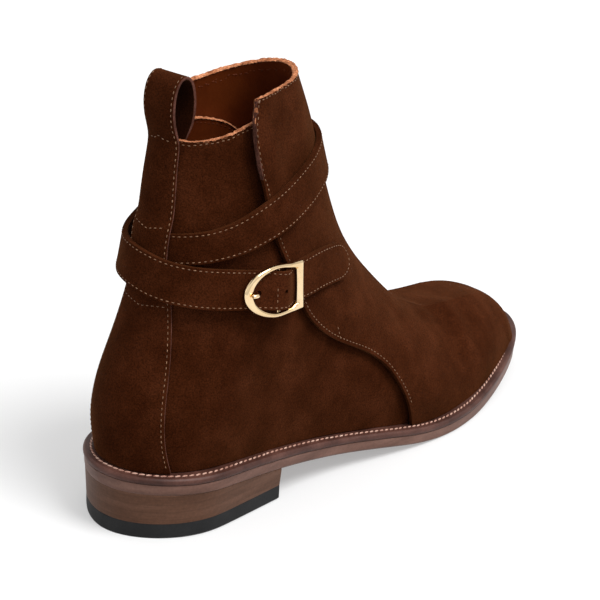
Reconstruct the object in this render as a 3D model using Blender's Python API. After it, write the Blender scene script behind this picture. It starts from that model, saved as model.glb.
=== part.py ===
"""Strap boot for the right foot, built as a bootmaker puts it together.

The model is in metres, +Z up, +Y towards the toe and +X to the wearer's right, the outer side of the boot.
The origin is on the floor under the middle of the heel. The sizes below are millimetres: "along" runs
from the back of the sole to the toe, "across" to the outer side and "up" from the floor.
"""

import math

import bpy
import numpy as np

MM = 0.001


def table(columns, *rows):
    """A short table with named columns."""
    return dict(zip(columns.split(), np.array(rows, float).T))


# Driving sizes

SOLE_LENGTH = 291.0
HEEL_MIDDLE = 36.0
HEEL_LENGTH = 74.5
HEEL_ROUND = 38.0
TOE_ACROSS = -2.0
BALL = {"lateral": (179.0, 47.7), "medial": (199.0, 44.0)}
GAP = 0.3
SKIN_GAP = 0.55
PANEL_GAP = 1.2

TOP_LIFT_THICK = 6.5
OUTSOLE_THICK = 4.5
WELT_THICK = 3.2
WELT_WIDTH = 15.5
INSOLE_THICK = 2.5
WALL = 2.0
PANEL_THICK = 1.7
COUNTER_THICK = 1.5
LOOP_THICK = 1.7

# The tread is the underside of the outsole: heel seat, arch, ball and toe spring.
TREAD = table(
    "along up",
    (0, 21.1), (60, 16.7), (111, 9.6), (140, 5.2), (166, 0.8), (182, -0.3), (204, 0.0), (239, 4.0),
    (291, 10.0),
)
SOLE_SIDE = table(
    "along lateral medial",
    (38, 34.8, 34.8), (112, 37.0, 27.5), (154, 45.2, 35.0), (199, 48.2, 44.0),
)

# The last: its top line from the toe to the front of the collar, its back line and the half width of the
# shaft. "round" is the depth over which the form swells to its full width.
TOP_LINE = table(
    "along up round",
    (283.6, 15.3, 7), (281, 19.4, 11), (271, 28.1, 19), (256, 37.6, 29), (238, 42.8, 36), (219, 44.6, 42),
    (201, 47.2, 48), (187, 52.4, 54), (174, 62.2, 60), (162.6, 72.8, 64), (148.2, 87, 67), (136.7, 101.5, 62),
    (120.8, 132, 50), (107.2, 169, 44), (100.4, 184, 48), (90, 206, 50),
)
BACK_LINE = table(
    "up along round",
    (29, 7, 36), (45, 6, 37), (60, 8.5, 38), (78, 15.5, 41), (95, 20.9, 45), (112, 23.8, 49), (132, 26.1, 50),
    (150, 28.3, 46), (166, 31, 42), (184, 33, 40), (206, 36, 38),
)
SHAFT = table(
    "up half",
    (29, 32), (60, 32.5), (80, 32.5), (95, 31.5), (112, 30), (132, 28), (150, 26), (170, 25), (206, 24),
)
LAST_INSET = {"quarters": 3.5, "forefoot": 4.9}
INSET_SPAN = (110.0, 175.0)
LAST_TOE = 4.9
RIDGE_FROM = 90.0
TUCK = 0.07
TUCK_RISE = 8.0
COLLAR_TOP = 182.0
SHAFT_BLEND = (20.0, 85.0)
SEAT_FADE = 4
LEVEL_TOP = 1.15
FINE_STEPS = 400


# Curves through the tables

def flow(xs, ys, x):
    """Smooth curve through the rows of a table."""
    slopes = np.gradient(ys, xs)
    x = np.clip(x, xs[0], xs[-1])
    i = np.clip(np.searchsorted(xs, x) - 1, 0, len(xs) - 2)
    step = xs[i + 1] - xs[i]
    t = (x - xs[i]) / step
    rise = ys[i + 1] - ys[i]
    a = slopes[i] * step - rise
    b = rise - slopes[i + 1] * step
    return ys[i] + t * rise + t * (1 - t) * (a * (1 - t) + b * t)


def ease(t):
    t = np.clip(t, 0.0, 1.0)
    return t * t * (3 - 2 * t)


def swell(depth, power=2.0):
    """Share of the full width at a depth behind an edge, from 0 at the edge to 1."""
    return (1 - (1 - np.clip(depth, 0.0, 1.0)) ** power) ** (1 / power)


def tread(along):
    return np.maximum(flow(TREAD["along"], TREAD["up"], along), 0.0)


def welt_top(along):
    return tread(along) + OUTSOLE_THICK + GAP + WELT_THICK


def seat(along):
    """Height of the lower edge of the upper."""
    return welt_top(along) + GAP


# Outline of the sole

HEEL_POWER = 1.88
TOE_POWER = 1.58
STATIONS = 44


def stations(start, end, count=STATIONS):
    """Places along the sole, close together at both ends where the outline turns."""
    turn = np.linspace(0, np.pi, count + 1)[1:-1]
    return start + (end - start) * (1 - np.cos(turn)) / 2


def side_width(along, side, inset, front):
    """Distance of one edge from the middle line, without the round of the heel."""
    ball_along, ball_width = BALL[side]
    straight = flow(SOLE_SIDE["along"], SOLE_SIDE[side], along) - inset
    toe_middle = TOE_ACROSS if side == "lateral" else -TOE_ACROSS
    reach = np.clip((along - ball_along) / (front - ball_along), 0.0, 1.0)
    toe = toe_middle + (ball_width - inset - toe_middle) * (1 - reach ** TOE_POWER) ** (1 / TOE_POWER)
    return np.where(along > ball_along, toe, straight)


def sole_width(along, side, inset):
    """Distance of one edge of the sole from the middle line."""
    width = side_width(along, side, inset, SOLE_LENGTH - inset)
    short = np.clip((HEEL_ROUND - along) / (HEEL_ROUND - inset), 0.0, 1.0)
    return width * (1 - short ** HEEL_POWER) ** (1 / HEEL_POWER)


def sole_edges(inset, end=None, count=STATIONS):
    """Stations, with the outer and inner edge at each, from the heel to the toe or to a cut end."""
    if end is None:
        along = stations(inset, SOLE_LENGTH - inset, count)
    else:
        turn = np.linspace(0, np.pi / 2, count + 1)[1:]
        along = inset + (end - inset) * (1 - np.cos(turn))
    return along, sole_width(along, "lateral", inset), -sole_width(along, "medial", inset)


# The last and the skin of the upper

def line_points(line, first, second):
    """Dense points on a table's line, spaced by length."""
    steps = np.hypot(np.diff(line[first]), np.diff(line[second]))
    length = np.concatenate([[0], np.cumsum(steps)])
    at = np.linspace(0, length[-1], FINE_STEPS)
    return at, {name: flow(length, column, at) for name, column in line.items()}


TOP_AT, TOP = line_points(TOP_LINE, "along", "up")
COLLAR_AT = np.interp(COLLAR_TOP, TOP["up"], TOP_AT)


def last_half(along, up, side):
    """Half width of the last on one side, at a place seen from the side."""
    rise = up - seat(along)
    middle = last_middle(along) if side == "medial" else -last_middle(along)
    forward = ease((along - INSET_SPAN[0]) / (INSET_SPAN[1] - INSET_SPAN[0]))
    inset = LAST_INSET["quarters"] + (LAST_INSET["forefoot"] - LAST_INSET["quarters"]) * forward
    plan = side_width(along, side, inset, SOLE_LENGTH - LAST_TOE) + middle
    mix = ease((rise - SHAFT_BLEND[0]) / (SHAFT_BLEND[1] - SHAFT_BLEND[0]))
    wide = plan * (1 - mix) + flow(SHAFT["up"], SHAFT["half"], up) * mix
    over = np.interp(-along, -TOP["along"], TOP["up"]) - up
    before = np.interp(up, TOP["up"], TOP["along"]) - along
    over = np.maximum(over, 1e-6)
    before = np.maximum(before, 1e-6)
    apart = np.hypot(over, before)
    share = (before / apart) ** 2
    depth = share * np.interp(-along, -TOP["along"], TOP["round"])
    depth = depth + (1 - share) * np.interp(up, TOP["up"], TOP["round"])
    front = swell(over * before / apart / depth)
    behind = along - flow(BACK_LINE["up"], BACK_LINE["along"], up)
    back = swell(behind / flow(BACK_LINE["up"], BACK_LINE["round"], up))
    tuck = 1 - TUCK * np.exp(-((rise / TUCK_RISE) ** 2))
    return wide * front * back * tuck


def last_middle(along):
    """The ridge of the last moves to the inner side towards the toe."""
    return TOE_ACROSS * ease((along - RIDGE_FROM) / (SOLE_LENGTH - RIDGE_FROM))


def back_foot():
    """Where the back line meets the seat."""
    return BACK_LINE["along"][0]


def skin(turn, level):
    """Outer face of the quarters: turn goes round from the back by the outer side, level up to the collar."""
    turn, level = np.broadcast_arrays(np.asarray(turn, float), np.asarray(level, float))
    front_along = np.interp(level * COLLAR_AT, TOP_AT, TOP["along"])
    front_up = np.interp(level * COLLAR_AT, TOP_AT, TOP["up"])
    heel_up = seat(back_foot())
    back_up = heel_up + level * (COLLAR_TOP - heel_up)
    back_along = flow(BACK_LINE["up"], BACK_LINE["along"], back_up)
    part = (1 - np.cos(turn)) / 2
    along = back_along + (front_along - back_along) * part
    reach = (along - back_foot()) / (TOP["along"][0] - back_foot())
    chord = heel_up + (TOP["up"][0] - heel_up) * reach
    up = back_up + (front_up - back_up) * part + (1 - level) ** SEAT_FADE * (seat(along) - chord)
    outer = last_half(along, up, "lateral")
    inner = -last_half(along, up, "medial")
    across = last_middle(along) + np.where(np.sin(turn) >= 0, outer, inner)
    return np.stack([across, along, up], axis=-1)


def skin_normal(turn, level):
    """Outward direction of the skin."""
    step_turn, step_level = 0.03, 2e-3
    low = np.maximum(np.asarray(level, float) - step_level, 1e-4)
    around = skin(np.asarray(turn) + step_turn, level) - skin(np.asarray(turn) - step_turn, level)
    upward = skin(turn, np.asarray(level) + step_level) - skin(turn, low)
    normal = np.cross(around, upward)
    return normal / np.linalg.norm(normal, axis=-1, keepdims=True)


def skin_off(turn, level, lift):
    """A face that stands off the skin."""
    return skin(turn, level) + skin_normal(turn, level) * np.asarray(lift, float)[..., None]


def level_at(turn, up):
    """Level of the skin that has a height at a turn."""
    levels = np.linspace(0, LEVEL_TOP, FINE_STEPS)
    heights = skin(turn, levels)[:, 2]
    return float(np.interp(up, heights, levels))


# Meshes

def surface(name, colour, roughness, metallic=0.0):
    material = bpy.data.materials.new(name)
    material.use_nodes = True
    shader = material.node_tree.nodes["Principled BSDF"]
    shader.inputs["Base Color"].default_value = (*colour, 1.0)
    shader.inputs["Roughness"].default_value = roughness
    shader.inputs["Metallic"].default_value = metallic
    return material


def add_piece(name, points, faces, material):
    """One named object from points in millimetres."""
    placed = (np.asarray(points) - (0, HEEL_MIDDLE, 0)) * MM
    mesh = bpy.data.meshes.new(name)
    mesh.from_pydata(placed.tolist(), [], faces)
    mesh.update()
    piece = bpy.data.objects.new(name, mesh)
    piece.data.materials.append(material)
    bpy.context.scene.collection.objects.link(piece)
    return piece


def add_sheet(name, outer, inner, closed, material):
    """A wall between two grids of points: rows upward, columns round, closed where the wall is a ring."""
    rows, columns = outer.shape[:2]
    size = rows * columns
    points = np.concatenate([outer.reshape(-1, 3), inner.reshape(-1, 3)])

    def at(row, column):
        return row * columns + column % columns

    faces = []
    for column in range(columns if closed else columns - 1):
        for row in range(rows - 1):
            quad = [at(row, column), at(row, column + 1), at(row + 1, column + 1), at(row + 1, column)]
            faces.append(quad)
            faces.append([size + corner for corner in reversed(quad)])
        for row, turned in ((0, False), (rows - 1, True)):
            rim = [at(row, column + 1), at(row, column), size + at(row, column), size + at(row, column + 1)]
            faces.append(rim[::-1] if turned else rim)
    if not closed:
        for column, turned in ((0, True), (columns - 1, False)):
            for row in range(rows - 1):
                low, high = at(row, column), at(row + 1, column)
                rim = [high, low, size + low, size + high]
                faces.append(rim[::-1] if turned else rim)
    return add_piece(name, points, faces, material)


def add_sweep(name, sections, material, ring=False):
    """A solid through like sections, with flat ends, or a closed ring."""
    count, corners = sections.shape[:2]
    faces = []
    for i in range(count if ring else count - 1):
        for j in range(corners):
            here, there = i * corners, (i + 1) % count * corners
            k = (j + 1) % corners
            faces.append([here + j, here + k, there + k, there + j])
    if not ring:
        faces.append(list(range(corners))[::-1])
        faces.append([(count - 1) * corners + j for j in range(corners)])
    return add_piece(name, sections.reshape(-1, 3), faces, material)


# Sole

EDGE_EASE = 0.8
OUTSOLE_INSET = 0.6
INSOLE_INSET = 13.9
HEEL_INSET = {"head": 1.0, "foot": 1.8}
HEEL_STATIONS = 20
WELT_PROFILE = table(
    "inset rise",
    (WELT_WIDTH, 0.0), (WELT_WIDTH, WELT_THICK), (0.9, WELT_THICK), (0.0, 2.3), (0.0, 0.9), (0.7, 0.0),
)


def across_sections(along, outer, inner, low, high, ease_low):
    """Sections of a plate at stations along the sole, with an eased lower edge."""
    corners = [
        (inner + ease_low, low), (inner, low + ease_low), (inner, high),
        (outer, high), (outer, low + ease_low), (outer - ease_low, low),
    ]
    return np.stack([np.stack([x, along, z], axis=-1) for x, z in corners], axis=1)


def add_outsole():
    along, outer, inner = sole_edges(OUTSOLE_INSET)
    low = tread(along)
    sections = across_sections(along, outer, inner, low, low + OUTSOLE_THICK, EDGE_EASE)
    return add_sweep("outsole", sections, surface("sole leather", (0.12, 0.075, 0.055), 0.5))


def add_heel():
    along, outer, inner = sole_edges(HEEL_INSET["head"], HEEL_LENGTH, HEEL_STATIONS)
    base, base_outer, base_inner = sole_edges(HEEL_INSET["foot"], HEEL_LENGTH, HEEL_STATIONS)
    lift_up = np.full_like(along, TOP_LIFT_THICK)
    leather = surface("heel leather", (0.13, 0.085, 0.065), 0.5)
    rubber = surface("lift rubber", (0.012, 0.012, 0.013), 0.55)
    foot = np.stack([base_outer, base, lift_up + GAP], axis=-1)
    foot_inner = np.stack([base_inner, base, lift_up + GAP], axis=-1)
    head = np.stack([outer, along, tread(along) - GAP], axis=-1)
    head_inner = np.stack([inner, along, tread(along) - GAP], axis=-1)
    add_sweep("heel_stack", np.stack([foot_inner, head_inner, head, foot], axis=1), leather)
    lift = across_sections(base, base_outer, base_inner, 0 * base, lift_up, EDGE_EASE)
    add_sweep("top_lift", lift, rubber)


def add_welt():
    """The strip round the sole that the upper stands on."""
    loops = []
    for inset, rise in zip(WELT_PROFILE["inset"], WELT_PROFILE["rise"]):
        along, outer, inner = sole_edges(inset)
        base = tread(along) + OUTSOLE_THICK + GAP + rise
        right = np.stack([outer, along, base], axis=-1)
        left = np.stack([inner, along, base], axis=-1)
        loops.append(np.concatenate([right, left[::-1]]))
    leather = surface("welt leather", (0.09, 0.04, 0.028), 0.45)
    return add_sweep("welt", np.stack(loops, axis=1), leather, ring=True)


def add_insole():
    along, outer, inner = sole_edges(INSOLE_INSET)
    low = seat(along)
    sections = across_sections(along, outer, inner, low, low + INSOLE_THICK, EDGE_EASE)
    return add_sweep("insole", sections, surface("insole board", (0.30, 0.16, 0.085), 0.6))


# Upper

SUEDE = ((0.075, 0.028, 0.012), 0.9)
QUARTER_COLLAR = table(
    "turn up",
    (-180, 96), (-160, 106), (-140, 136), (-125, 151), (-108, 157), (-90, 160), (-60, 163), (-30, 165),
    (0, 166), (30, 165.5), (55, 167), (80, 171), (98, 170), (118, 158), (140, 134), (160, 106), (180, 96),
)
UPPER_COLUMNS = 52
UPPER_ROWS = 14
PANEL_EDGE = table(
    "up along",
    (4, 160), (12, 158), (24, 153), (35, 146), (46, 137), (54, 127), (60.5, 116), (66, 105.7), (74, 95),
    (83, 86), (96, 79), (111, 72), (125, 65.2), (143, 60.4), (158, 57), (171, 56.6), (186, 61),
)
PANEL_COLUMNS = 34
PANEL_ROWS = 23
PANEL_COLLAR = table(
    "turn up",
    (0, 176), (60, 179), (80, 180.5), (120, 182), (180, 183), (212, 181), (240, 178), (270, 175.5),
    (300, 174), (360, 173),
)
FLAP_LIFT = {"lateral": 3.2, "medial": 1.1}
FLAP_REACH = 0.55
FLAP_FOOT = 112.0
FLAP_RISE = 40.0
EDGE_MARGIN = 0.02


def add_upper():
    turns = np.linspace(0, 2 * np.pi, UPPER_COLUMNS, endpoint=False)
    signed = np.degrees((turns + np.pi) % (2 * np.pi) - np.pi)
    heights = flow(QUARTER_COLLAR["turn"], QUARTER_COLLAR["up"], signed)
    tops = np.array([level_at(turn, up) for turn, up in zip(turns, heights)])
    levels = np.linspace(0, 1, UPPER_ROWS)[:, None] * tops[None, :]
    grid = np.broadcast_to(turns, levels.shape)
    outer = skin(grid, levels)
    inner = skin_off(grid, levels, np.full(levels.shape, -WALL))
    inner[0, :, 2] = outer[0, :, 2]
    return add_sheet("upper", outer, inner, True, surface("quarters suede", *SUEDE))


def panel_level(turn, rise):
    """Level of a row of the front panel: rise goes from 0 at the welt to 1 at the panel's collar."""
    round_turns = np.radians(PANEL_COLLAR["turn"])
    tops = [level_at(at, up) for at, up in zip(round_turns, PANEL_COLLAR["up"])]
    return rise * flow(round_turns, np.array(tops), turn)


def panel_edge_turn(rise, side):
    """Turn where the edge of the front panel crosses a row on one side."""
    turns = np.linspace(EDGE_MARGIN, np.pi - EDGE_MARGIN, FINE_STEPS)
    if side == "medial":
        turns = 2 * np.pi - turns
    points = skin(turns, panel_level(turns, rise))
    past = points[:, 1] - flow(PANEL_EDGE["up"], PANEL_EDGE["along"], points[:, 2])
    return float(np.interp(0.0, past, turns))


def panel_lift(turn, level, edges):
    """How far the loose edges of the front panel stand off the quarters."""
    up = skin(turn, level)[..., 2]
    free = ease((up - FLAP_FOOT) / FLAP_RISE)
    outer = FLAP_LIFT["lateral"] * (1 - ease((turn - edges[0]) / FLAP_REACH))
    inner = FLAP_LIFT["medial"] * (1 - ease((edges[1] - turn) / FLAP_REACH))
    return free * (outer + inner)


def add_front_panel():
    rise = np.linspace(0, 1, PANEL_ROWS)
    edges = []
    for side in ("lateral", "medial"):
        edges.append(np.array([[panel_edge_turn(row, side)] for row in rise]))
    span = np.linspace(0, 1, PANEL_COLUMNS + 1)
    turns = edges[0] + (edges[1] - edges[0]) * span[None, :]
    levels = panel_level(turns, rise[:, None])
    lift = PANEL_GAP + panel_lift(turns, levels, edges)
    inner = skin_off(turns, levels, lift)
    outer = skin_off(turns, levels, lift + PANEL_THICK)
    inner[0, :, 2] = outer[0, :, 2] = seat(outer[0, :, 1])
    return add_sheet("front_panel", outer, inner, False, surface("front suede", *SUEDE))


# Stays on the back of the upper

COUNTER_TOP = 103.5
COUNTER_HALF = table("rise half", (0, 21.0), (0.5, 18.3), (1, 11.2))
COUNTER_ROWS = 10
STAY_COLUMNS = 8
BACK_DEPTH = 30.0
BACK_STEPS = 60
BACK_STEP = 0.2

# The back strip outside the boot. "lift" opens a tunnel for the thin end of the strap.
BACK_STRIP = table(
    "up half lift",
    (106, 9.0, 0.5), (110, 9.0, 0.9), (113.5, 8.9, 2.2), (121, 8.5, 2.4), (129, 8.6, 2.2),
    (132.5, 8.8, 0.9), (136, 8.9, 0.5), (143, 8.7, 0.5), (151, 8.3, 0.5), (159, 7.8, 0.5), (165, 7.6, 0.5),
)
# The loop above the collar. "sag" bends the strip across its width.
LOOP = table(
    "along up half sag",
    (27.7, 170.5, 7.8, 1.7), (26.6, 177, 8.1, 1.1), (27.2, 184, 8.3, 0.6), (29.8, 190, 8.3, 0.2),
    (34.4, 192.4, 8.2, 0.0), (38.6, 189.6, 8.1, -0.2), (40.1, 183, 8.0, -0.5), (39.6, 177, 8.0, -1.0),
    (37.6, 171, 8.0, -1.6),
)
LOOP_INSIDE = (164.5, 158.0, 151.0)


def back_face(across, up):
    """Distance along at which the back of the skin has a place across."""
    across, up = np.broadcast_arrays(np.asarray(across, float), np.asarray(up, float))
    behind = flow(BACK_LINE["up"], BACK_LINE["along"], up)
    depths = np.linspace(0, 1, BACK_STEPS) ** 2 * BACK_DEPTH
    found = np.empty(across.shape)
    for place in np.ndindex(across.shape):
        along = behind[place] + depths
        found[place] = np.interp(abs(across[place]), last_half(along, up[place], "lateral"), along)
    return found


def back_points(across, up, lift):
    """Points that stand off the back of the skin."""
    along = back_face(across, up)
    rise_across = back_face(across + BACK_STEP, up) - back_face(across - BACK_STEP, up)
    rise_up = back_face(across, up + BACK_STEP) - back_face(across, up - BACK_STEP)
    normal = np.stack([rise_across, np.full_like(along, -2 * BACK_STEP), rise_up], axis=-1)
    normal /= np.linalg.norm(normal, axis=-1, keepdims=True)
    return np.stack([across, along, up], axis=-1) + normal * np.asarray(lift, float)[..., None]


def add_counter():
    rise = np.linspace(0, 1, COUNTER_ROWS)[:, None]
    span = np.linspace(-1, 1, STAY_COLUMNS + 1)[None, :]
    across = flow(COUNTER_HALF["rise"], COUNTER_HALF["half"], rise) * span
    foot = seat(back_face(across[:1], seat(back_foot())))
    up = foot + (COUNTER_TOP - foot) * rise
    lift = np.full(up.shape, SKIN_GAP)
    inner = back_points(across, up, lift)
    outer = back_points(across, up, lift + COUNTER_THICK)
    return add_sheet("heel_counter", outer, inner, False, surface("counter suede", *SUEDE))


def add_pull_loop():
    span = np.linspace(-1, 1, STAY_COLUMNS + 1)
    strip_across = BACK_STRIP["half"][:, None] * span
    strip_up = BACK_STRIP["up"][:, None] + 0 * strip_across
    strip_lift = BACK_STRIP["lift"][:, None] + 0 * strip_across
    lower = [back_points(strip_across, strip_up, strip_lift + side * LOOP_THICK) for side in (0, 1)]
    inside_up = np.array(LOOP_INSIDE)[:, None] + 0 * span
    inside_across = LOOP["half"][-1] * span + 0 * inside_up
    inside_lift = np.full(inside_up.shape, -WALL - SKIN_GAP)
    inside = [back_points(inside_across, inside_up, inside_lift - side * LOOP_THICK) for side in (0, 1)]

    # The loop's middle line starts and ends on the two parts that lie on the boot.
    middle = np.stack([LOOP["along"], LOOP["up"]], axis=-1)
    foot = (lower[0][-1] + lower[1][-1])[STAY_COLUMNS // 2, 1:] / 2
    end = (inside[0][0] + inside[1][0])[STAY_COLUMNS // 2, 1:] / 2
    path = np.concatenate([[foot], middle, [end]])
    way = (path[2:] - path[:-2]) / np.linalg.norm(path[2:] - path[:-2], axis=1, keepdims=True)
    normal = np.stack([0 * way[:, 0], -way[:, 1], way[:, 0]], axis=-1)
    loop = []
    for side in (-0.5, 0.5):
        across = LOOP["half"][:, None] * span
        away = side * LOOP_THICK - LOOP["sag"][:, None] * span**2
        flat = np.stack([across, middle[:, :1] + 0 * across, middle[:, 1:] + 0 * across], axis=-1)
        loop.append(flat + normal[:, None, :] * away[..., None])
    inner, outer = (np.concatenate([lower[i], loop[i], inside[i]]) for i in (0, 1))
    return add_sheet("pull_loop", outer, inner, False, surface("loop suede", *SUEDE))


# Strap and buckle

# One turn and a third round the ankle, from under the back strip to the tip past the buckle.
STRAP = table(
    "turn up half lift thick",
    (3, 121, 6.3, 0.5, 1.2), (14, 121.5, 6.4, 0.5, 1.2), (30, 122.3, 6.5, 0.8, 2.4),
    (40, 123.3, 6.6, 1.7, 2.4), (54, 126.4, 7.0, 4.0, 2.4), (71, 131.7, 7.7, 5.7, 2.4),
    (95, 137.6, 8.2, 4.6, 2.4), (118, 141.8, 8.5, 3.4, 2.4), (150, 146, 8.5, 3.4, 2.4),
    (180, 147.5, 8.5, 3.4, 2.4), (212, 145, 8.5, 3.4, 2.4), (242, 138, 8.5, 3.2, 2.4),
    (265, 129.5, 8.5, 3.6, 2.4), (283, 121.5, 8.5, 3.8, 2.4), (300, 116, 8.5, 3.3, 2.4),
    (318, 113.8, 8.5, 3.2, 2.4), (333, 113.4, 8.5, 3.7, 2.4), (347, 113.6, 8.5, 4.6, 2.4),
    (360, 112.2, 8.5, 4.7, 2.4), (374, 109.4, 8.5, 4.5, 2.4), (388, 107.2, 8.5, 4.1, 2.4),
    (404, 105.2, 8.5, 3.6, 2.4), (411, 104.2, 8.4, 3.5, 2.4), (416, 103.3, 8.3, 3.5, 2.4),
    (419.5, 102.7, 8.3, 3.6, 2.4), (423.5, 101.9, 8.1, 6.0, 2.4), (426.8, 101.3, 7.9, 7.1, 2.4),
    (429.8, 101.1, 7.7, 6.2, 2.4), (432.8, 101.1, 7.7, 4.4, 2.4), (436, 101.15, 8.1, 3.5, 2.4),
    (445, 101.4, 8.4, 3.5, 2.4), (454, 101.6, 8.4, 3.5, 2.4), (468, 99.9, 8.1, 3.4, 2.4),
    (481.5, 95.7, 7.7, 3.4, 2.4),
)
STRAP_ROWS = 74
BUCKLE_SPAN = (404, 445)
STRAP_STEPS = 600
TIP_ROWS = 6
STRAP_COLUMNS = 3
TIP_LENGTH = 12.0
TIP_END = 0.12

BUCKLE_TURNS = (76.4, 50.4)
BUCKLE_UP = (100.8, 102.2)
BUCKLE_LIFT = 7.5
BUCKLE_BEND = 1.6
ARM_HALF = 10.2
BAR_HALF = 8.7
STRAIGHT_ARM = 13.0
BAR_CORNER = 6.0
BAR_WIDTH = 3.8
ARM_WIDTH = 2.0
BOW_WIDTH = 4.2
BOW_STEPS = 17
FRAME_THICK = 2.2
FRAME_PROFILE = table("side rise", (-0.7, -1), (0.7, -1), (1, 0), (0.55, 1), (-0.55, 1), (-1, 0))
AXLE_AT = 11.5
AXLE_RADIUS = 0.8
AXLE_DROP = FRAME_THICK / 2 + AXLE_RADIUS + GAP
PRONG_RADIUS = 1.0
ROUND_STEPS = 8
# The prong from its tip on the bow to where it goes into the strap.
PRONG = table("before sink girth", (0.2, 0.0, 0.9), (2.2, 0.0, 1.05), (3.8, 0.8, 1.05), (5.2, 2.6, 0.9))


def strap_rows():
    """Turn, height, half width, lift and thickness at even lengths along the strap."""
    fine = np.linspace(STRAP["turn"][0], STRAP["turn"][-1], STRAP_STEPS)
    up = flow(STRAP["turn"], STRAP["up"], fine)
    turns = np.radians(fine)
    path = np.array([skin(turn, level_at(turn, height)) for turn, height in zip(turns, up)])
    length = np.concatenate([[0], np.cumsum(np.linalg.norm(np.diff(path, axis=0), axis=1))])
    knots = STRAP["turn"][(STRAP["turn"] >= BUCKLE_SPAN[0]) & (STRAP["turn"] <= BUCKLE_SPAN[1])]
    close = np.interp(np.sort(np.concatenate([knots, (knots[1:] + knots[:-1]) / 2])), fine, length)
    body = np.linspace(0, length[-1] - TIP_LENGTH, STRAP_ROWS)
    body = body[(body < close[0] - 1) | (body > close[-1] + 1)]
    tip = length[-1] - TIP_LENGTH * (1 - np.sin(np.linspace(0, np.pi / 2, TIP_ROWS + 1)[1:]))
    at = np.sort(np.concatenate([body, close, tip]))
    turn = np.interp(at, length, fine)
    columns = [flow(STRAP["turn"], STRAP[name], turn) for name in ("up", "half", "lift", "thick")]
    past = np.clip((at - length[-1] + TIP_LENGTH) / TIP_LENGTH, 0, 1)
    columns[1] = columns[1] * np.maximum(np.sqrt(1 - past**2), TIP_END)
    return np.radians(turn), *columns


def add_strap():
    turns, ups, halves, lifts, thick = strap_rows()
    levels = np.array([level_at(turn, up) for turn, up in zip(turns, ups)])
    path = skin_off(turns, levels, lifts)
    way = np.gradient(path, axis=0)
    normal = skin_normal(turns, levels)
    wide = np.cross(normal, way)
    wide /= np.linalg.norm(wide, axis=1, keepdims=True)
    # Turn and level that a step of one millimetre across the strap takes.
    step = 0.01
    around = (skin(turns + step, levels) - skin(turns - step, levels)) / (2 * step)
    upward = (skin(turns, levels + step) - skin(turns, levels - step)) / (2 * step)
    face = np.stack([around, upward], axis=-1)
    turned = face.transpose(0, 2, 1)
    pace = np.linalg.solve(turned @ face, turned @ wide[..., None])[..., 0]
    inner, outer = [], []
    for place in np.linspace(1, -1, STRAP_COLUMNS + 1):
        edge_turns = turns + place * halves * pace[:, 0]
        edge_levels = levels + place * halves * pace[:, 1]
        inner.append(skin_off(edge_turns, edge_levels, lifts))
        outer.append(skin_off(edge_turns, edge_levels, lifts + thick))
    suede = surface("strap suede", *SUEDE)
    return add_sheet("strap", np.stack(outer, axis=1), np.stack(inner, axis=1), False, suede)


def buckle_axes():
    """Middle of the front bar, with the ways back along the strap, up across it, and out."""
    ends = []
    for turn, up in zip(np.radians(BUCKLE_TURNS), BUCKLE_UP):
        level = level_at(turn, up)
        ends.append((skin_off(turn, level, BUCKLE_LIFT), skin_normal(turn, level)))
    (front, front_out), (rear, rear_out) = ends
    length = np.linalg.norm(rear - front)
    back = (rear - front) / length
    out = front_out + rear_out
    out = out - back * np.dot(out, back)
    out /= np.linalg.norm(out)
    return front, back, np.cross(back, out), out, length


def add_buckle():
    front, back, up, out, length = buckle_axes()

    def plate(name):
        return surface(name, (0.83, 0.62, 0.33), 0.18, 1.0)

    def place(a, b, c):
        bend = BUCKLE_BEND * 4 * a / length * (1 - a / length)
        return front + a * back + b * up + (c + bend) * out

    # Middle line of the frame: up the front bar, back along one arm, round the bow, home along the other arm.
    bow = np.linspace(0, np.pi, BOW_STEPS)
    bow_a = STRAIGHT_ARM + (length - STRAIGHT_ARM) * np.sin(bow)
    bow_b = ARM_HALF * np.cos(bow)
    bow_width = ARM_WIDTH + (BOW_WIDTH - ARM_WIDTH) * np.sin(bow) ** 2
    line = [(0.0, b, BAR_WIDTH) for b in (-BAR_HALF, 0.0, BAR_HALF)]
    corner_half = BAR_HALF + (ARM_HALF - BAR_HALF) * BAR_CORNER / STRAIGHT_ARM
    line += [(BAR_CORNER, corner_half, ARM_WIDTH)]
    line += list(zip(bow_a, bow_b, bow_width))
    line += [(BAR_CORNER, -corner_half, ARM_WIDTH)]
    line = np.array(line)
    way = np.roll(line, -1, axis=0)[:, :2] - np.roll(line, 1, axis=0)[:, :2]
    way /= np.linalg.norm(way, axis=1, keepdims=True)
    side = np.stack([way[:, 1], -way[:, 0]], axis=1)
    sections = []
    for (a, b, width), (side_a, side_b) in zip(line, side):
        corner = a == 0 and b != 0
        reach = width / 2 * (math.sqrt(2) if corner else 1.0)
        ring = []
        for p, q in zip(FRAME_PROFILE["side"] * reach, FRAME_PROFILE["rise"] * FRAME_THICK / 2):
            ring.append(place(a + p * side_a, b + p * side_b, q))
        sections.append(ring)
    add_sweep("buckle_frame", np.array(sections), plate("frame plate"), ring=True)

    turn = np.linspace(0, 2 * np.pi, ROUND_STEPS, endpoint=False)
    round_line = np.stack([np.cos(turn), np.sin(turn)], axis=-1)
    axle = []
    for b in (-ARM_HALF, ARM_HALF):
        axle.append([place(AXLE_AT + p, b, q - AXLE_DROP) for p, q in AXLE_RADIUS * round_line])
    add_sweep("buckle_axle", np.array(axle), plate("axle plate"))

    lie = FRAME_THICK / 2 + PRONG_RADIUS + GAP
    prong = []
    for before, sink, girth in zip(PRONG["before"], PRONG["sink"], PRONG["girth"]):
        ring = PRONG_RADIUS * girth * round_line
        prong.append([place(length - before, p, lie - sink + q) for p, q in ring])
    add_sweep("buckle_prong", np.array(prong), plate("prong plate"))


for old in list(bpy.data.objects):
    bpy.data.objects.remove(old)

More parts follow.
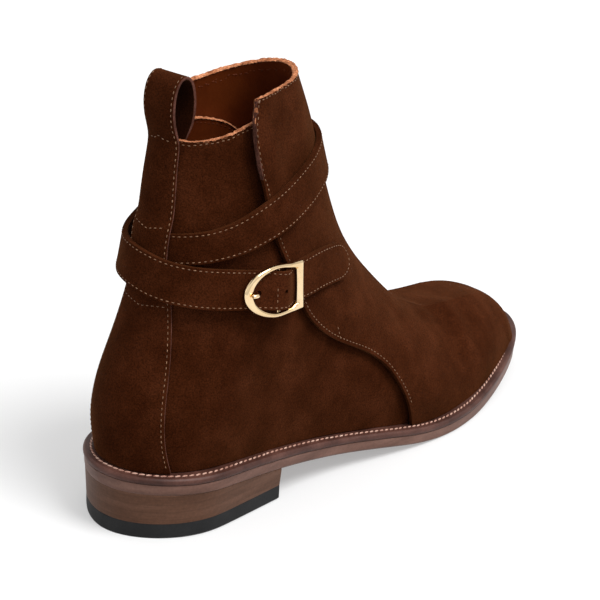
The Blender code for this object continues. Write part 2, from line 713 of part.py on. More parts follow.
add_outsole()
add_heel()
add_welt()
add_insole()
add_upper()
add_front_panel()
add_counter()
add_pull_loop()
add_strap()
add_buckle()
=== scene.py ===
"""Looks of the strap boot: brown suede, a strap wound round the ankle, a leather sole and a gold buckle."""

import math

import bpy
import numpy as np
from mathutils import Matrix, Vector, noise
from mathutils.bvhtree import BVHTree


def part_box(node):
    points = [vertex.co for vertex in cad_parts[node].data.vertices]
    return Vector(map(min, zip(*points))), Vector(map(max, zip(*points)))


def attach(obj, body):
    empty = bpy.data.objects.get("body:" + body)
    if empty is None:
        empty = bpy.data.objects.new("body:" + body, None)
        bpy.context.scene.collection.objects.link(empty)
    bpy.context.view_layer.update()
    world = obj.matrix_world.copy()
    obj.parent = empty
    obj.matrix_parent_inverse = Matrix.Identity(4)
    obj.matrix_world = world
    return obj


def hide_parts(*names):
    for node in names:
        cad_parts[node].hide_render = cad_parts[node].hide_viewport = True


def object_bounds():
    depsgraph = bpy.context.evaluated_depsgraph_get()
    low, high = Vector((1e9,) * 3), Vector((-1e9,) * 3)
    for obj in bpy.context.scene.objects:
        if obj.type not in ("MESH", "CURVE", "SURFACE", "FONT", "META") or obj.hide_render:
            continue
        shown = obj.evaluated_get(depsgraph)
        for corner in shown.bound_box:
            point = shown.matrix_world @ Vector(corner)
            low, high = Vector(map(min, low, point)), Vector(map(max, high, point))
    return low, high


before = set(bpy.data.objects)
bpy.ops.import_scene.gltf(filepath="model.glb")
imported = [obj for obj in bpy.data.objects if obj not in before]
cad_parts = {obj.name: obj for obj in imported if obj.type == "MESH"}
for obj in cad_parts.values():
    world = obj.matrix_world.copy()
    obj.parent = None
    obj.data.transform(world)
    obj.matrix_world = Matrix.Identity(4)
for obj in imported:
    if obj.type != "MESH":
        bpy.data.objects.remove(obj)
cad_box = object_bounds()
MM = 0.001


# Outsole. A single leather sole, cut to the outline of the boot, with its edge trimmed,
# waxed and burnished. It is sewn to the welt all round and carries the heel.

OUTER, INNER, EDGE = 0, 1, 2
FIRM_ANGLE = math.radians(40)
SOFT_ANGLE = math.radians(63)
SHADE_ANGLE = math.radians(50)
SIDE_SHARE = 0.1
UPWARD = 0.6


def cut(node, name, firm=FIRM_ANGLE):
    """A new piece cut to a CAD solid: merged, back in quads, with its firm edges marked."""
    piece = bpy.data.objects.new(name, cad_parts[node].data.copy())
    bpy.context.scene.collection.objects.link(piece)
    piece.data.materials.clear()
    bpy.ops.object.select_all(action="DESELECT")
    bpy.context.view_layer.objects.active = piece
    piece.select_set(True)
    bpy.ops.object.mode_set(mode="EDIT")
    bpy.ops.mesh.customdata_custom_splitnormals_clear()
    bpy.ops.mesh.select_mode(type="EDGE")
    bpy.ops.mesh.select_all(action="SELECT")
    bpy.ops.mesh.mark_sharp(clear=True)
    bpy.ops.mesh.remove_doubles(threshold=2e-6)
    bpy.ops.mesh.tris_convert_to_quads(face_threshold=0.6, shape_threshold=1.2)
    bpy.ops.mesh.select_all(action="DESELECT")
    bpy.ops.mesh.edges_select_sharp(sharpness=firm)
    bpy.ops.mesh.mark_sharp()
    bpy.ops.object.mode_set(mode="OBJECT")
    mark_sides(piece)
    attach(piece, "root")
    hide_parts(node)
    return piece


def mark_sides(piece):
    """Numbers the faces between the firm edges: the outer side, the inner side and the cut edges."""
    mesh = piece.data
    beside = {}
    for face in mesh.polygons:
        for key in face.edge_keys:
            beside.setdefault(key, []).append(face.index)
    joined = {face.index: [] for face in mesh.polygons}
    for edge in mesh.edges:
        pair = beside.get(tuple(sorted(edge.vertices)), [])
        if not edge.use_edge_sharp and len(pair) == 2:
            joined[pair[0]].append(pair[1])
            joined[pair[1]].append(pair[0])
    sides = []
    left = set(joined)
    while left:
        side = []
        wave = [left.pop()]
        while wave:
            side.append(wave.pop())
            ahead = [there for there in joined[side[-1]] if there in left]
            left.difference_update(ahead)
            wave.extend(ahead)
        sides.append((sum(mesh.polygons[index].area for index in side), side))
    whole = sum(area for area, side in sides)
    sides.sort(key=lambda item: -item[0])
    for number, (area, side) in enumerate(sides):
        kind = min(number, INNER) if area > SIDE_SHARE * whole else EDGE
        for index in side:
            mesh.polygons[index].material_index = kind


def finish(piece, rounding, firm=FIRM_ANGLE, levels=2):
    """Rounds the rims of a piece and smooths it. The rounded rims count as cut edges."""
    bpy.ops.object.select_all(action="DESELECT")
    bpy.context.view_layer.objects.active = piece
    piece.select_set(True)
    rims = piece.modifiers.new("rims", "BEVEL")
    rims.width = rounding
    rims.segments = 2
    rims.material = EDGE
    rims.limit_method = "ANGLE"
    rims.angle_limit = firm
    smooth = piece.modifiers.new("smooth", "SUBSURF")
    smooth.levels = levels
    smooth.render_levels = levels
    bpy.ops.object.modifier_apply(modifier=rims.name)
    bpy.ops.object.modifier_apply(modifier=smooth.name)
    bpy.ops.object.shade_smooth_by_angle(angle=SHADE_ANGLE)


def close_joint(piece, rise):
    """Brings the upper face of a piece up to the piece that is glued on it."""
    for vertex in piece.data.vertices:
        if vertex.normal.z > UPWARD:
            vertex.co.z += rise


def blunt_toe(piece):
    """Trims the tip of a sole piece back, so that the toe comes out a little rounder."""
    for vertex in piece.data.vertices:
        share = max(vertex.co.y - TIP_START, 0) / (TIP_END - TIP_START)
        vertex.co.y -= TIP_TRIM * share**2


def lay(tree, kind, feeds=None, **settings):
    """One shader node, with its settings and what feeds its sockets."""
    made = tree.nodes.new("ShaderNode" + kind)
    for name, value in settings.items():
        setattr(made, name, value)
    for name, value in (feeds or {}).items():
        if isinstance(value, bpy.types.NodeSocket):
            tree.links.new(value, made.inputs[name])
        else:
            made.inputs[name].default_value = value
    return made


def hide_group():
    """Shared look of a hide: broad patches of tone, and a grain with its height."""
    group = bpy.data.node_groups.new("hide", "ShaderNodeTree")
    for name in ("Patch Scale", "Grain Scale", "Stretch"):
        group.interface.new_socket(name, in_out="INPUT", socket_type="NodeSocketFloat")
    for name in ("Patches", "Grain", "Height"):
        group.interface.new_socket(name, in_out="OUTPUT", socket_type="NodeSocketFloat")
    given = group.nodes.new("NodeGroupInput").outputs
    place = lay(group, "TexCoord").outputs["Object"]
    drawn = lay(group, "CombineXYZ", {"X": 1.0, "Y": 1.0, "Z": given["Stretch"]}).outputs["Vector"]
    pulled = lay(group, "VectorMath", {0: place, 1: drawn}, operation="MULTIPLY").outputs["Vector"]
    feeds = {"Vector": pulled, "Scale": given["Patch Scale"], "Detail": 6.0, "Roughness": 0.62}
    patches = lay(group, "TexNoise", feeds).outputs["Fac"]
    feeds = {"Vector": place, "Scale": given["Grain Scale"], "Detail": 3.0, "Roughness": 0.65}
    grain = lay(group, "TexNoise", feeds).outputs["Fac"]
    coarse = lay(group, "Math", {0: given["Grain Scale"], 1: 0.22}, operation="MULTIPLY").outputs[0]
    broad = lay(group, "TexNoise", {"Vector": place, "Scale": coarse, "Detail": 2.0}).outputs["Fac"]
    height = lay(group, "Math", {0: broad, 1: 0.6, 2: grain}, operation="MULTIPLY_ADD").outputs[0]
    out = group.nodes.new("NodeGroupOutput").inputs
    group.links.new(patches, out["Patches"])
    group.links.new(grain, out["Grain"])
    group.links.new(height, out["Height"])
    return group


HIDE = hide_group()


def hide(name, tones, patch_scale, grain_scale, grain_depth, bump, stretch=1.0, **sockets):
    """A leather or suede: three tones from dark to light in patches, broken up by the grain."""
    made = bpy.data.materials.new(name)
    made.use_nodes = True
    tree = made.node_tree
    shader = tree.nodes["Principled BSDF"]
    for socket, value in sockets.items():
        shader.inputs[socket.replace("_", " ").title().replace("Ior", "IOR")].default_value = value
    look = lay(tree, "Group", node_tree=HIDE)
    look.inputs["Patch Scale"].default_value = patch_scale
    look.inputs["Grain Scale"].default_value = grain_scale
    look.inputs["Stretch"].default_value = stretch
    ramp = lay(tree, "ValToRGB", {"Fac": look.outputs["Patches"]})
    ramp.color_ramp.elements.new(0.5)
    for stop, place, tone in zip(ramp.color_ramp.elements, (0.36, 0.5, 0.64), tones):
        stop.position = place
        stop.color = (*tone, 1.0)
    limits = {"Value": look.outputs["Grain"], "From Min": 0.3, "From Max": 0.7, "To Min": 1 - grain_depth}
    limits["To Max"] = 1 + grain_depth
    level = lay(tree, "MapRange", limits).outputs["Result"]
    shaded = lay(tree, "VectorMath", {0: ramp.outputs["Color"], 1: level}, operation="MULTIPLY")
    tree.links.new(shaded.outputs["Vector"], shader.inputs["Base Color"])
    feeds = {"Height": look.outputs["Height"], "Strength": bump, "Distance": 0.3 * MM}
    tree.links.new(lay(tree, "Bump", feeds).outputs["Normal"], shader.inputs["Normal"])
    return made


JOINT_RISE = 0.28 * MM
TIP_START = 0.234
TIP_END = cad_box[1][1]
TIP_TRIM = 3.2 * MM
outsole = cut("outsole", "outsole_edge")
finish(outsole, 0.12 * MM)
close_joint(outsole, JOINT_RISE)
blunt_toe(outsole)
sole_tones = ((0.098, 0.045, 0.031), (0.140, 0.067, 0.048), (0.185, 0.095, 0.070))
burnished = {"roughness": 0.48, "specular_ior_level": 0.3}
sole_leather = hide("burnished sole edge", sole_tones, 30, 900, 0.14, 0.12, 7.0, **burnished)
outsole.data.materials.append(sole_leather)


# Heel. Layers of leather are glued and nailed in a stack, then trimmed and burnished with the sole.
# The layers still show as faint level lines.

LAYER = 3.6 * MM
HEEL_RISE = 0.95 * MM
heel = cut("heel_stack", "heel_layers")
finish(heel, 0.04 * MM)
close_joint(heel, HEEL_RISE)
heel_tones = ((0.082, 0.036, 0.020), (0.104, 0.048, 0.028), (0.126, 0.060, 0.037))
trimmed = {"roughness": 0.5, "specular_ior_level": 0.16}
heel_leather = hide("burnished heel stack", heel_tones, 26, 800, 0.14, 0.12, 9.0, **trimmed)
heel.data.materials.append(heel_leather)


def add_layer_lines(made, layer, depth):
    """Darkens a leather along the level lines where its layers meet."""
    tree = made.node_tree
    shader = tree.nodes["Principled BSDF"]
    place = lay(tree, "TexCoord").outputs["Object"]
    sway = lay(tree, "TexNoise", {"Vector": place, "Scale": 40.0, "Detail": 1.0}).outputs["Fac"]
    up = lay(tree, "SeparateXYZ", {"Vector": place}).outputs["Z"]
    drift = lay(tree, "Math", {0: sway, 1: 0.5 * MM, 2: up}, operation="MULTIPLY_ADD").outputs[0]
    part = lay(tree, "Math", {0: drift, 1: layer, 2: 0.0}, operation="WRAP").outputs[0]
    off = lay(tree, "Math", {0: part, 1: layer / 2}, operation="SUBTRACT").outputs[0]
    far = lay(tree, "Math", {0: off}, operation="ABSOLUTE").outputs[0]
    limits = {"Value": far, "From Min": 0.0, "From Max": 0.4 * MM, "To Min": 1 - depth, "To Max": 1.0}
    line = lay(tree, "MapRange", limits).outputs["Result"]
    colour = shader.inputs["Base Color"].links[0].from_socket
    darker = lay(tree, "VectorMath", {0: colour, 1: line}, operation="MULTIPLY")
    tree.links.new(darker.outputs["Vector"], shader.inputs["Base Color"])


add_layer_lines(heel_leather, LAYER, 0.14)


# Top lift. A black rubber tread is nailed under the heel stack and trimmed flush with it.
# It is the only part of the heel that touches the ground.

lift = cut("top_lift", "rubber_lift")
finish(lift, 0.05 * MM)
close_joint(lift, JOINT_RISE)
rubber_tones = ((0.008, 0.008, 0.0083), (0.011, 0.011, 0.0115), (0.015, 0.015, 0.0155))
rubber = hide("lift rubber", rubber_tones, 60, 1400, 0.2, 0.15, roughness=0.6, specular_ior_level=0.2)
lift.data.materials.append(rubber)


# Welt. A strip of waxed leather runs round the whole sole. Upper and sole are both sewn to it,
# and the outer seam shows as a row of thick pale stitches close to the upper.

welt = cut("welt", "waxed_welt")
finish(welt, 0.3 * MM)
blunt_toe(welt)
welt_tones = ((0.046, 0.017, 0.012), (0.074, 0.029, 0.021), (0.110, 0.046, 0.034))
waxed = {"roughness": 0.48, "specular_ior_level": 0.22}
welt_leather = hide("waxed welt leather", welt_tones, 60, 1100, 0.15, 0.2, **waxed)
welt.data.materials.append(welt_leather)


def edge_runs(piece, inside, inset, keep):
    """Runs of points and normals that follow the edge of a part of a piece, at an inset over its face."""
    mesh = piece.data
    faces = [face for face in mesh.polygons if inside(face)]
    places = np.array([vertex.co for vertex in mesh.vertices])
    skin = BVHTree.FromPolygons(places.tolist(), [list(face.vertices) for face in faces])
    rise = np.zeros_like(places)
    rim = set()
    for face in faces:
        corners = list(face.vertices)
        rise[corners] += np.array(face.normal) * face.area
        for here, there in zip(corners, corners[1:] + corners[:1]):
            if (there, here) in rim:
                rim.remove((there, here))
            else:
                rim.add((here, there))
    after = dict(sorted(rim))
    runs = []
    while after:
        line = [next(iter(after))]
        while line[-1] in after:
            line.append(after.pop(line[-1]))
        points = places[line[:-1]]
        way = np.roll(points, -1, axis=0) - np.roll(points, 1, axis=0)
        inward = np.cross(rise[line[:-1]], way)
        inward /= np.maximum(np.linalg.norm(inward, axis=1, keepdims=True), 1e-12)
        wanted = [bool(keep(Vector(point))) for point in points]
        first = wanted.index(False) if False in wanted else 0
        run = []
        for step in range(len(points) + 1):
            at = (first + step) % len(points)
            if wanted[at] and step < len(points):
                spot, normal = skin.find_nearest(Vector(points[at] + inset * inward[at]))[:2]
                run.append((*spot, *normal))
            else:
                if len(run) > 2:
                    runs.append(np.array(run))
                run = []
    return runs


def sew(name, runs, pitch, length, thick, material, slant=0.0):
    """A row of stitches along runs of points: one stitch is modelled, and copied at each step."""
    bpy.ops.object.select_all(action="DESELECT")
    bpy.ops.mesh.primitive_uv_sphere_add(segments=6, ring_count=4, radius=1)
    model = bpy.context.object
    size = (length / 2, thick / 2, thick / 2)
    form = np.array([vertex.co for vertex in model.data.vertices])[:, [2, 0, 1]] * size
    sides = [list(face.vertices) for face in model.data.polygons]
    bpy.data.objects.remove(model)
    points = []
    faces = []
    for run in runs:
        way = np.concatenate([[0], np.cumsum(np.linalg.norm(np.diff(run[:, :3], axis=0), axis=1))])
        for at in np.arange(pitch / 2, way[-1], pitch):
            spot = np.array([np.interp(at, way, run[:, axis]) for axis in range(6)])
            span = (max(at - pitch / 2, 0), min(at + pitch / 2, way[-1]))
            ends = [np.array([np.interp(end, way, run[:, axis]) for axis in range(3)]) for end in span]
            out = spot[3:] / np.linalg.norm(spot[3:])
            along = ends[1] - ends[0]
            along -= out * (along @ out)
            along /= np.linalg.norm(along)
            side = np.cross(out, along)
            turned = np.stack([along + side * slant, side - along * slant, out])
            faces += [[index + len(points) * len(form) for index in face] for face in sides]
            points.append(spot[:3] + form @ turned)
    mesh = bpy.data.meshes.new(name)
    mesh.from_pydata(np.concatenate(points).tolist(), [], faces)
    mesh.update()
    seam = bpy.data.objects.new(name, mesh)
    seam.data.materials.append(material)
    seam.data.shade_smooth()
    bpy.context.scene.collection.objects.link(seam)
    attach(seam, "root")


WELT_SEAM = 2.8 * MM
WELT_STITCH = {"pitch": 3.0 * MM, "length": 2.8 * MM, "thick": 1.0 * MM, "slant": 0.25}
cord_tones = ((0.30, 0.13, 0.09), (0.50, 0.28, 0.21), (0.64, 0.43, 0.34))
welt_thread = hide("waxed welt thread", cord_tones, 300, 3000, 0.2, 0.3, roughness=0.55)
welt_line = edge_runs(welt, lambda face: face.normal.z > 0.9, WELT_SEAM, lambda point: True)
welt_line = [max(welt_line, key=lambda run: np.ptp(run[:, 0]))]
sew("welt_stitches", welt_line, **WELT_STITCH, material=welt_thread)


# Insole. A board of vegetable tanned leather lies on the welt inside the boot.
# It shows only to someone who looks down the shaft.

insole = cut("insole", "leather_insole")
finish(insole, 0.3 * MM)
board_tones = ((0.20, 0.085, 0.032), (0.27, 0.12, 0.048), (0.33, 0.155, 0.066))
insole_leather = hide("insole leather", board_tones, 40, 1200, 0.15, 0.2, roughness=0.55)
insole.data.materials.append(insole_leather)


# Upper. Two suede quarters close the back of the boot and rise to a low collar. They are lined
# with tan calf, and their cut edges are left raw. A seam follows the collar.

suede_tones = ((0.031, 0.0069, 0.0018), (0.041, 0.0098, 0.0029), (0.054, 0.0138, 0.0046))
suede_sheen = {"sheen_weight": 0.24, "sheen_roughness": 0.36, "sheen_tint": (0.52, 0.215, 0.075, 1.0)}
suede_feel = {"roughness": 0.95, "specular_ior_level": 0.02, **suede_sheen}
suede = hide("brown suede", suede_tones, 60, 1500, 0.5, 0.7, **suede_feel)
raw_tones = ((0.055, 0.019, 0.012), (0.095, 0.036, 0.025), (0.140, 0.056, 0.040))
raw_edge = hide("raw suede edge", raw_tones, 160, 1500, 0.4, 0.7, roughness=0.9, specular_ior_level=0.1)
tan_tones = ((0.24, 0.080, 0.032), (0.44, 0.165, 0.075), (0.64, 0.270, 0.135))
tan_edge = hide("raw collar edge", tan_tones, 260, 1400, 0.5, 0.9, roughness=0.9, specular_ior_level=0.1)
lining_tones = ((0.068, 0.0100, 0.0008), (0.095, 0.0155, 0.0014), (0.125, 0.0230, 0.0028))
lining = hide("tan calf lining", lining_tones, 30, 1300, 0.12, 0.2, roughness=0.5, specular_ior_level=0.25)
thread_tones = ((0.13, 0.060, 0.027), (0.21, 0.103, 0.049), (0.30, 0.160, 0.083))
thread = hide("tan thread", thread_tones, 400, 3500, 0.2, 0.3, roughness=0.6)


def outer_face(piece):
    """The outer side of a piece, to find places on."""
    faces = [list(face.vertices) for face in piece.data.polygons if face.material_index == OUTER]
    return BVHTree.FromPolygons([vertex.co for vertex in piece.data.vertices], faces)


def drawn_run(piece, points):
    """A run of points drawn on the outer side of a piece, between marked places."""
    skin = outer_face(piece)
    run = []
    for start, end in zip(points, points[1:]):
        for share in np.linspace(0, 1, 12):
            spot, normal = skin.find_nearest(Vector(start).lerp(Vector(end), share))[:2]
            run.append((*spot, *normal))
    return np.array(run)


def press(piece, points, width, depth):
    """A soft trough along a line drawn on a piece, or a ridge where the depth is negative."""
    run = drawn_run(piece, points)
    places = np.array([vertex.co for vertex in piece.data.vertices])
    away = np.linalg.norm(places[:, None, :] - run[None, :, :3], axis=2)
    near = away.argmin(axis=1)
    fade = np.sin(np.pi * (near + 0.5) / len(run)) ** 0.7
    sink = depth * fade * np.exp(-((away.min(axis=1) / width) ** 2))
    piece.data.vertices.foreach_set("co", (places - sink[:, None] * run[near, 3:]).ravel())
    piece.data.update()


def soften(piece, reach):
    """Lets a suede piece stand a little uneven, as it comes off the last."""
    for vertex in piece.data.vertices:
        vertex.co += noise.noise_vector(vertex.co * SLACK_WAVES) * reach


def fray(piece, foot, swell):
    """Swells the raw edges of a piece above a height, and leaves them rough."""
    raw = set()
    for face in piece.data.polygons:
        if face.material_index == EDGE and face.center.z > foot:
            raw.update(face.vertices)
    for index in sorted(raw):
        vertex = piece.data.vertices[index]
        vertex.co += vertex.normal * swell * (1 + noise.noise(vertex.co * FRAY_GRAIN))


SLACK = 0.35 * MM
SLACK_WAVES = 34.0
SLACK_SEED = 7
FRAY = 0.45 * MM
FRAY_GRAIN = 700.0
COLLAR_SEAM = 2.3 * MM
LINING_SEAM = 3.0 * MM
COLLAR_FOOT = 0.140
STITCH = {"pitch": 2.4 * MM, "length": 1.3 * MM, "thick": 0.44 * MM}
# A fixed seed for the slack, so that each run gives the same boot.
noise.seed_set(SLACK_SEED)
upper = cut("upper", "suede_quarters")
finish(upper, 0.5 * MM)
soften(upper, SLACK)
fray(upper, COLLAR_FOOT, FRAY)
for material in (suede, lining, tan_edge):
    upper.data.materials.append(material)


def is_outer(face):
    return face.material_index == OUTER


def is_inner(face):
    return face.material_index == INNER


def on_collar(point):
    return point.z > COLLAR_FOOT


sew("collar_stitches", edge_runs(upper, is_outer, COLLAR_SEAM, on_collar), **STITCH, material=thread)
sew("lining_stitches", edge_runs(upper, is_inner, LINING_SEAM, on_collar), **STITCH, material=lining)


# Front panel. Vamp and front of the shaft are one piece of suede, drawn over the last and lapped
# on the quarters. Its edge is turned in and sewn down to the ankle, and stands free as a flap above.

PANEL_FOOT = 0.020
PANEL_FRONT = 0.124
TURNED_TOP = 0.150
TURNED, UPRIGHT = 3, 4
TOE_CAP = 0.226
TOE_FOOT = 0.017
TOE_EASE = {"factor": 0.5, "repeat": 16}
UPRIGHT_RISE = 0.3
PANEL_SEAM = 1.7 * MM
TAPE_SEAM = 9.0 * MM
TAPE_FOOT = 0.168
TOE_SIDE = (
    (0.0102, 0.2283, 0.0320),
    (0.0145, 0.2289, 0.0273),
    (0.0200, 0.2266, 0.0200),
    (0.0227, 0.2231, 0.0165),
)
BALL_RIDGE = (
    (-0.0094, 0.176, 0.0456),
    (0.0105, 0.180, 0.0453),
    (0.0279, 0.1777, 0.0349),
    (0.0337, 0.172, 0.029),
)
panel = cut("front_panel", "suede_front")
finish(panel, 0.7 * MM)
soften(panel, SLACK)
for line, width, depth in (
    # Full toe, soft ridge over the ball, small creases behind it, and upright waves on the flap.
    (TOE_SIDE, 8, -1.8),
    (BALL_RIDGE, 5, -0.9),
    (((0.000, 0.166, 0.049), (0.0179, 0.167, 0.0446), (0.027, 0.160, 0.040)), 4, 0.7),
    (((0.0159, 0.160, 0.0476), (0.0217, 0.150, 0.0500)), 3, 0.5),
    (((0.0217, 0.121, 0.0664), (0.0306, 0.1336, 0.0483)), 6, 0.6),
    (((0.0254, 0.0397, 0.1765), (0.0270, 0.0391, 0.1669)), 4, -0.4),
    (((0.0294, 0.0302, 0.1643), (0.0306, 0.0309, 0.1538)), 4, -0.4),
):
    press(panel, line, width * MM, depth * MM)
toe = set()
for face in panel.data.polygons:
    if face.material_index != INNER and face.center.y > TOE_CAP and face.center.z > TOE_FOOT:
        toe.update(face.vertices)
for edge in panel.data.edges:
    edge.select = toe.issuperset(edge.vertices)
bpy.ops.object.mode_set(mode="EDIT")
bpy.ops.mesh.vertices_smooth(**TOE_EASE)
bpy.ops.mesh.mark_sharp(clear=True)
bpy.ops.object.mode_set(mode="OBJECT")
fray(panel, TURNED_TOP, FRAY)
for material in (suede, lining, tan_edge, suede, raw_edge):
    panel.data.materials.append(material)


def on_panel_edge(point):
    return point.z > PANEL_FOOT and point.y < PANEL_FRONT


TACK = ((0.0352, 0.0702, 0.0728), (0.0357, 0.0723, 0.0657))
panel_line = edge_runs(panel, is_outer, PANEL_SEAM, on_panel_edge)
sew("panel_stitches", panel_line + [drawn_run(panel, TACK)], **STITCH, material=thread)
tape_line = edge_runs(panel, is_inner, TAPE_SEAM, lambda point: point.z > TAPE_FOOT)
sew("tape_stitches", tape_line, **STITCH, material=lining)
for face in panel.data.polygons:
    if face.material_index == EDGE and face.center.z < TURNED_TOP:
        face.material_index = TURNED
    elif face.material_index == EDGE and face.normal.z < UPRIGHT_RISE:
        face.material_index = UPRIGHT


# Heel counter. A suede stay covers the back seam from the welt to the ankle, with a seam
# along both sides and across its head.

COUNTER_FOOT = 0.031
COUNTER_END = 0.1025
COUNTER_HEAD = 0.0975
HEAD_HALF = 0.0105
HEAD_BACK = -0.020
HEAD_CURVE = 0.01
COUNTER_SEAM = 1.6 * MM


def on_counter_side(point):
    return COUNTER_FOOT < point.z < COUNTER_END


counter = cut("heel_counter", "suede_counter")
finish(counter, 0.6 * MM)
soften(counter, SLACK)
for material in (suede, suede, raw_edge):
    counter.data.materials.append(material)
counter_line = edge_runs(counter, is_outer, COUNTER_SEAM, on_counter_side)
head = [(side * HEAD_HALF, HEAD_BACK + HEAD_CURVE * abs(side), COUNTER_HEAD) for side in (-1, 0, 1)]
counter_line.append(drawn_run(counter, head))
sew("counter_stitches", counter_line, **STITCH, material=thread)


# Pull loop. A folded suede strip is sewn up the back over the strap's end, stands above the
# collar as a loop, and is caught again inside the boot.

LOOP_EDGE = 0.0070
LOOP_SEAM = 1.1 * MM
loop = cut("pull_loop", "suede_loop", SOFT_ANGLE)
finish(loop, 0.45 * MM, SOFT_ANGLE)
soften(loop, SLACK)
# The inner side of the loop is the same suede painted near black: painted shade for the shadow inside the
# loop, not a colour of the leather.
painted_shade_tones = ((0.011, 0.0026, 0.0008), (0.016, 0.0040, 0.0013), (0.022, 0.0060, 0.0022))
loop_painted_shade = hide("painted shade inside the loop", painted_shade_tones, 24, 1500, 0.4, 0.6, **suede_feel)
for material in (suede, loop_painted_shade, raw_edge):
    loop.data.materials.append(material)
loop_line = edge_runs(loop, is_outer, LOOP_SEAM, lambda point: abs(point.x) > LOOP_EDGE)
for height, half in ((0.1655, 0.0063), (0.130, 0.0073)):
    loop_line.append(drawn_run(loop, ((-half, -0.009, height), (0, -0.016, height), (half, -0.009, height))))
sew("loop_stitches", loop_line, **STITCH, material=thread)


# Strap. A long band of suede starts under the back strip, winds up over the front of the shaft,
# comes down the inner side and round the back, and ends in a rounded tip past the buckle.

STRAP_SEAM = 1.1 * MM
strap = cut("strap", "suede_strap", SOFT_ANGLE)
finish(strap, 0.3 * MM, SOFT_ANGLE)
soften(strap, SLACK)
for material in (suede, suede, raw_edge):
    strap.data.materials.append(material)
strap_line = edge_runs(strap, is_outer, STRAP_SEAM, lambda point: True)
CROSS_SEAM = ((0.0385, 0.0244, 0.1046), (0.0396, 0.0233, 0.0968))
strap_line.append(drawn_run(strap, CROSS_SEAM))
sew("strap_stitches", strap_line, **STITCH, material=thread)


def punch(piece, place, radius, depth):
    """A round hole through a piece, square to its outer side."""
    spot, normal = outer_face(piece).find_nearest(Vector(place))[:2]
    bpy.ops.object.select_all(action="DESELECT")
    turn = normal.to_track_quat("Z", "Y").to_euler()
    bpy.ops.mesh.primitive_cylinder_add(vertices=14, radius=radius, depth=depth, location=spot, rotation=turn)
    punch_tool = bpy.context.object
    bpy.ops.object.select_all(action="DESELECT")
    bpy.context.view_layer.objects.active = piece
    piece.select_set(True)
    hole = piece.modifiers.new("hole", "BOOLEAN")
    hole.operation = "DIFFERENCE"
    hole.solver = "EXACT"
    hole.object = punch_tool
    bpy.ops.object.modifier_apply(modifier=hole.name)
    bpy.data.objects.remove(punch_tool)


SPARE_HOLE = (0.0403, 0.0281, 0.1019)
PRONG_HOLE = (0.0351, 0.0166, 0.1028)
PUNCH_DEPTH = 3.0 * MM
# The way into the prong's hole is taken before the hole has walls of its own.
way_in = -outer_face(strap).find_nearest(Vector(PRONG_HOLE))[1]
punch(strap, SPARE_HOLE, 0.95 * MM, PUNCH_DEPTH)
punch(strap, PRONG_HOLE, 1.35 * MM, PUNCH_DEPTH)


# Buckle. A D-shaped frame is cast with a round bow and a flat front bar, polished and plated pale
# gold. An axle under its arms carries the prong, which goes through the strap and rests on the bow.

BOW_FRONT = 0.034
gold_tones = ((0.80, 0.58, 0.32), (0.86, 0.64, 0.38), (0.90, 0.70, 0.44))
gold = hide("pale gold plate", gold_tones, 90, 500, 0.02, 0.01, roughness=0.11, metallic=1.0)
bow = cut("buckle_frame", "gold_frame")
for edge in bow.data.edges:
    ends = [bow.data.vertices[index].co.y for index in edge.vertices]
    edge.select = edge.use_edge_sharp and max(ends) < BOW_FRONT
bpy.ops.object.mode_set(mode="EDIT")
bpy.ops.mesh.bevel(offset=0.5 * MM, segments=3, affect="EDGES")
bpy.ops.object.mode_set(mode="OBJECT")
finish(bow, 0.12 * MM)
axle = cut("buckle_axle", "gold_axle")
finish(axle, 0.2 * MM)
prong = cut("buckle_prong", "gold_prong")
finish(prong, 0.35 * MM)
REACH = 1.3 * MM
prong_back, prong_front = (corner[1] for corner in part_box("buckle_prong"))
for vertex in prong.data.vertices:
    share = (vertex.co.y - prong_back) / (prong_front - prong_back)
    vertex.co += way_in * REACH * max(2 * share - 1, 0)
for metal in (bow, axle, prong):
    metal.data.materials.append(gold)


# Studio. The boot stands on a seamless white floor, under a soft key light high on its outer side
# and a weak fill behind its heel. The camera is turned a little, as the photographer's was.

FLOOR_SIDE = 40.0
FLOOR_DROP = 0.02 * MM
FLOOR_TONE = (0.52, 0.52, 0.52, 1.0)
FLOOR_GLOW = 0.35
WORLD_LIGHT = 0.60
WORLD_LEAN = 0.80
BRIGHTEST = (0.15, -0.15, 0.97)
FLAG = (-0.30, -0.57, 0.76)
FLAG_SHADE = 0.06
bpy.ops.object.select_all(action="DESELECT")
bpy.ops.mesh.primitive_plane_add(size=FLOOR_SIDE, location=(0, 0, -FLOOR_DROP))
floor = bpy.context.object
floor.name = "floor"
floor.visible_diffuse = False
paper = bpy.data.materials.new("white paper")
paper.use_nodes = True
paper_shader = paper.node_tree.nodes["Principled BSDF"]
paper_shader.inputs["Base Color"].default_value = FLOOR_TONE
paper_shader.inputs["Roughness"].default_value = 0.9
paper_shader.inputs["Emission Color"].default_value = (1.0, 1.0, 1.0, 1.0)
paper_shader.inputs["Emission Strength"].default_value = FLOOR_GLOW
paper.cycles.emission_sampling = "NONE"
floor.data.materials.append(paper)

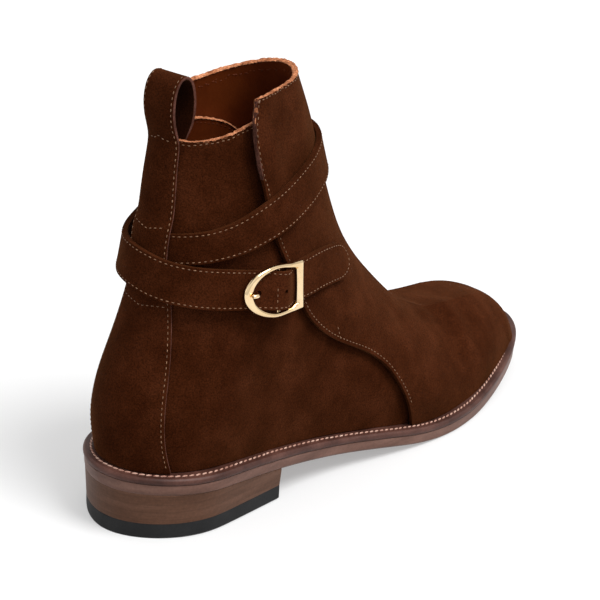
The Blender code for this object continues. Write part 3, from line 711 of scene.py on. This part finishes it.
# The room is brightest overhead, with a dark flag on the unlit side that the gold reflects.
world = bpy.data.worlds.new("studio")
world.use_nodes = True
sky = world.node_tree
way = lay(sky, "TexCoord").outputs["Generated"]
lean = lay(sky, "VectorMath", {0: way, 1: BRIGHTEST}, operation="DOT_PRODUCT").outputs["Value"]
glow = lay(sky, "Math", {0: lean, 1: WORLD_LIGHT * WORLD_LEAN, 2: WORLD_LIGHT}, operation="MULTIPLY_ADD")
near = lay(sky, "VectorMath", {0: way, 1: FLAG}, operation="DOT_PRODUCT").outputs["Value"]
limits = {"Value": near, "From Min": 0.80, "From Max": 0.90, "To Min": 1.0, "To Max": FLAG_SHADE}
flag = lay(sky, "MapRange", limits, interpolation_type="SMOOTHSTEP").outputs["Result"]
shaded_glow = lay(sky, "Math", {0: glow.outputs[0], 1: flag}, operation="MULTIPLY")
sky.nodes["Background"].inputs["Color"].default_value = (1.0, 1.0, 1.0, 1.0)
sky.links.new(shaded_glow.outputs[0], sky.nodes["Background"].inputs["Strength"])
bpy.context.scene.world = world
bpy.context.scene.view_settings.view_transform = "Standard"

AIM = Vector((-0.005455, 0.093598, 0.065988))
AZIMUTH = math.radians(38.915)
ELEVATION = math.radians(22.297)
ROLL = math.radians(3.035)
DISTANCE = 1.00376
PIXELS_PER_METRE = 2225.0
IMAGE_SIDE = 600
SENSOR = 36.0


def toward(azimuth, elevation):
    """Direction from the boot to a place seen at two angles."""
    flat = math.cos(elevation)
    return Vector((math.sin(azimuth) * flat, -math.cos(azimuth) * flat, math.sin(elevation)))


back = toward(AZIMUTH, ELEVATION)
level_right = (-back).cross(Vector((0, 0, 1))).normalized()
level_up = level_right.cross(-back)
right = level_right * math.cos(ROLL) + level_up * math.sin(ROLL)
up = level_up * math.cos(ROLL) - level_right * math.sin(ROLL)
camera_data = bpy.data.cameras.new("camera")
camera_data.sensor_width = SENSOR
camera_data.lens = SENSOR * PIXELS_PER_METRE * DISTANCE / IMAGE_SIDE
camera = bpy.data.objects.new("camera", camera_data)
bpy.context.scene.collection.objects.link(camera)
turned = Matrix((right, up, back)).transposed().to_4x4()
camera.matrix_world = Matrix.Translation(AIM + back * DISTANCE) @ turned
bpy.context.scene.camera = camera

for name, azimuth, elevation, spread, energy in (
    # The key stands high on the outer side, and a weak broad fill behind the heel.
    ("key", 102, 58, 28, 2.5),
    ("fill", -25, 35, 60, 0.5),
):
    light_data = bpy.data.lights.new(name, "SUN")
    light_data.angle = math.radians(spread)
    light_data.energy = energy
    light = bpy.data.objects.new(name, light_data)
    from_light = -toward(math.radians(azimuth), math.radians(elevation))
    light.rotation_euler = from_light.to_track_quat("-Z", "Y").to_euler()
    bpy.context.scene.collection.objects.link(light)
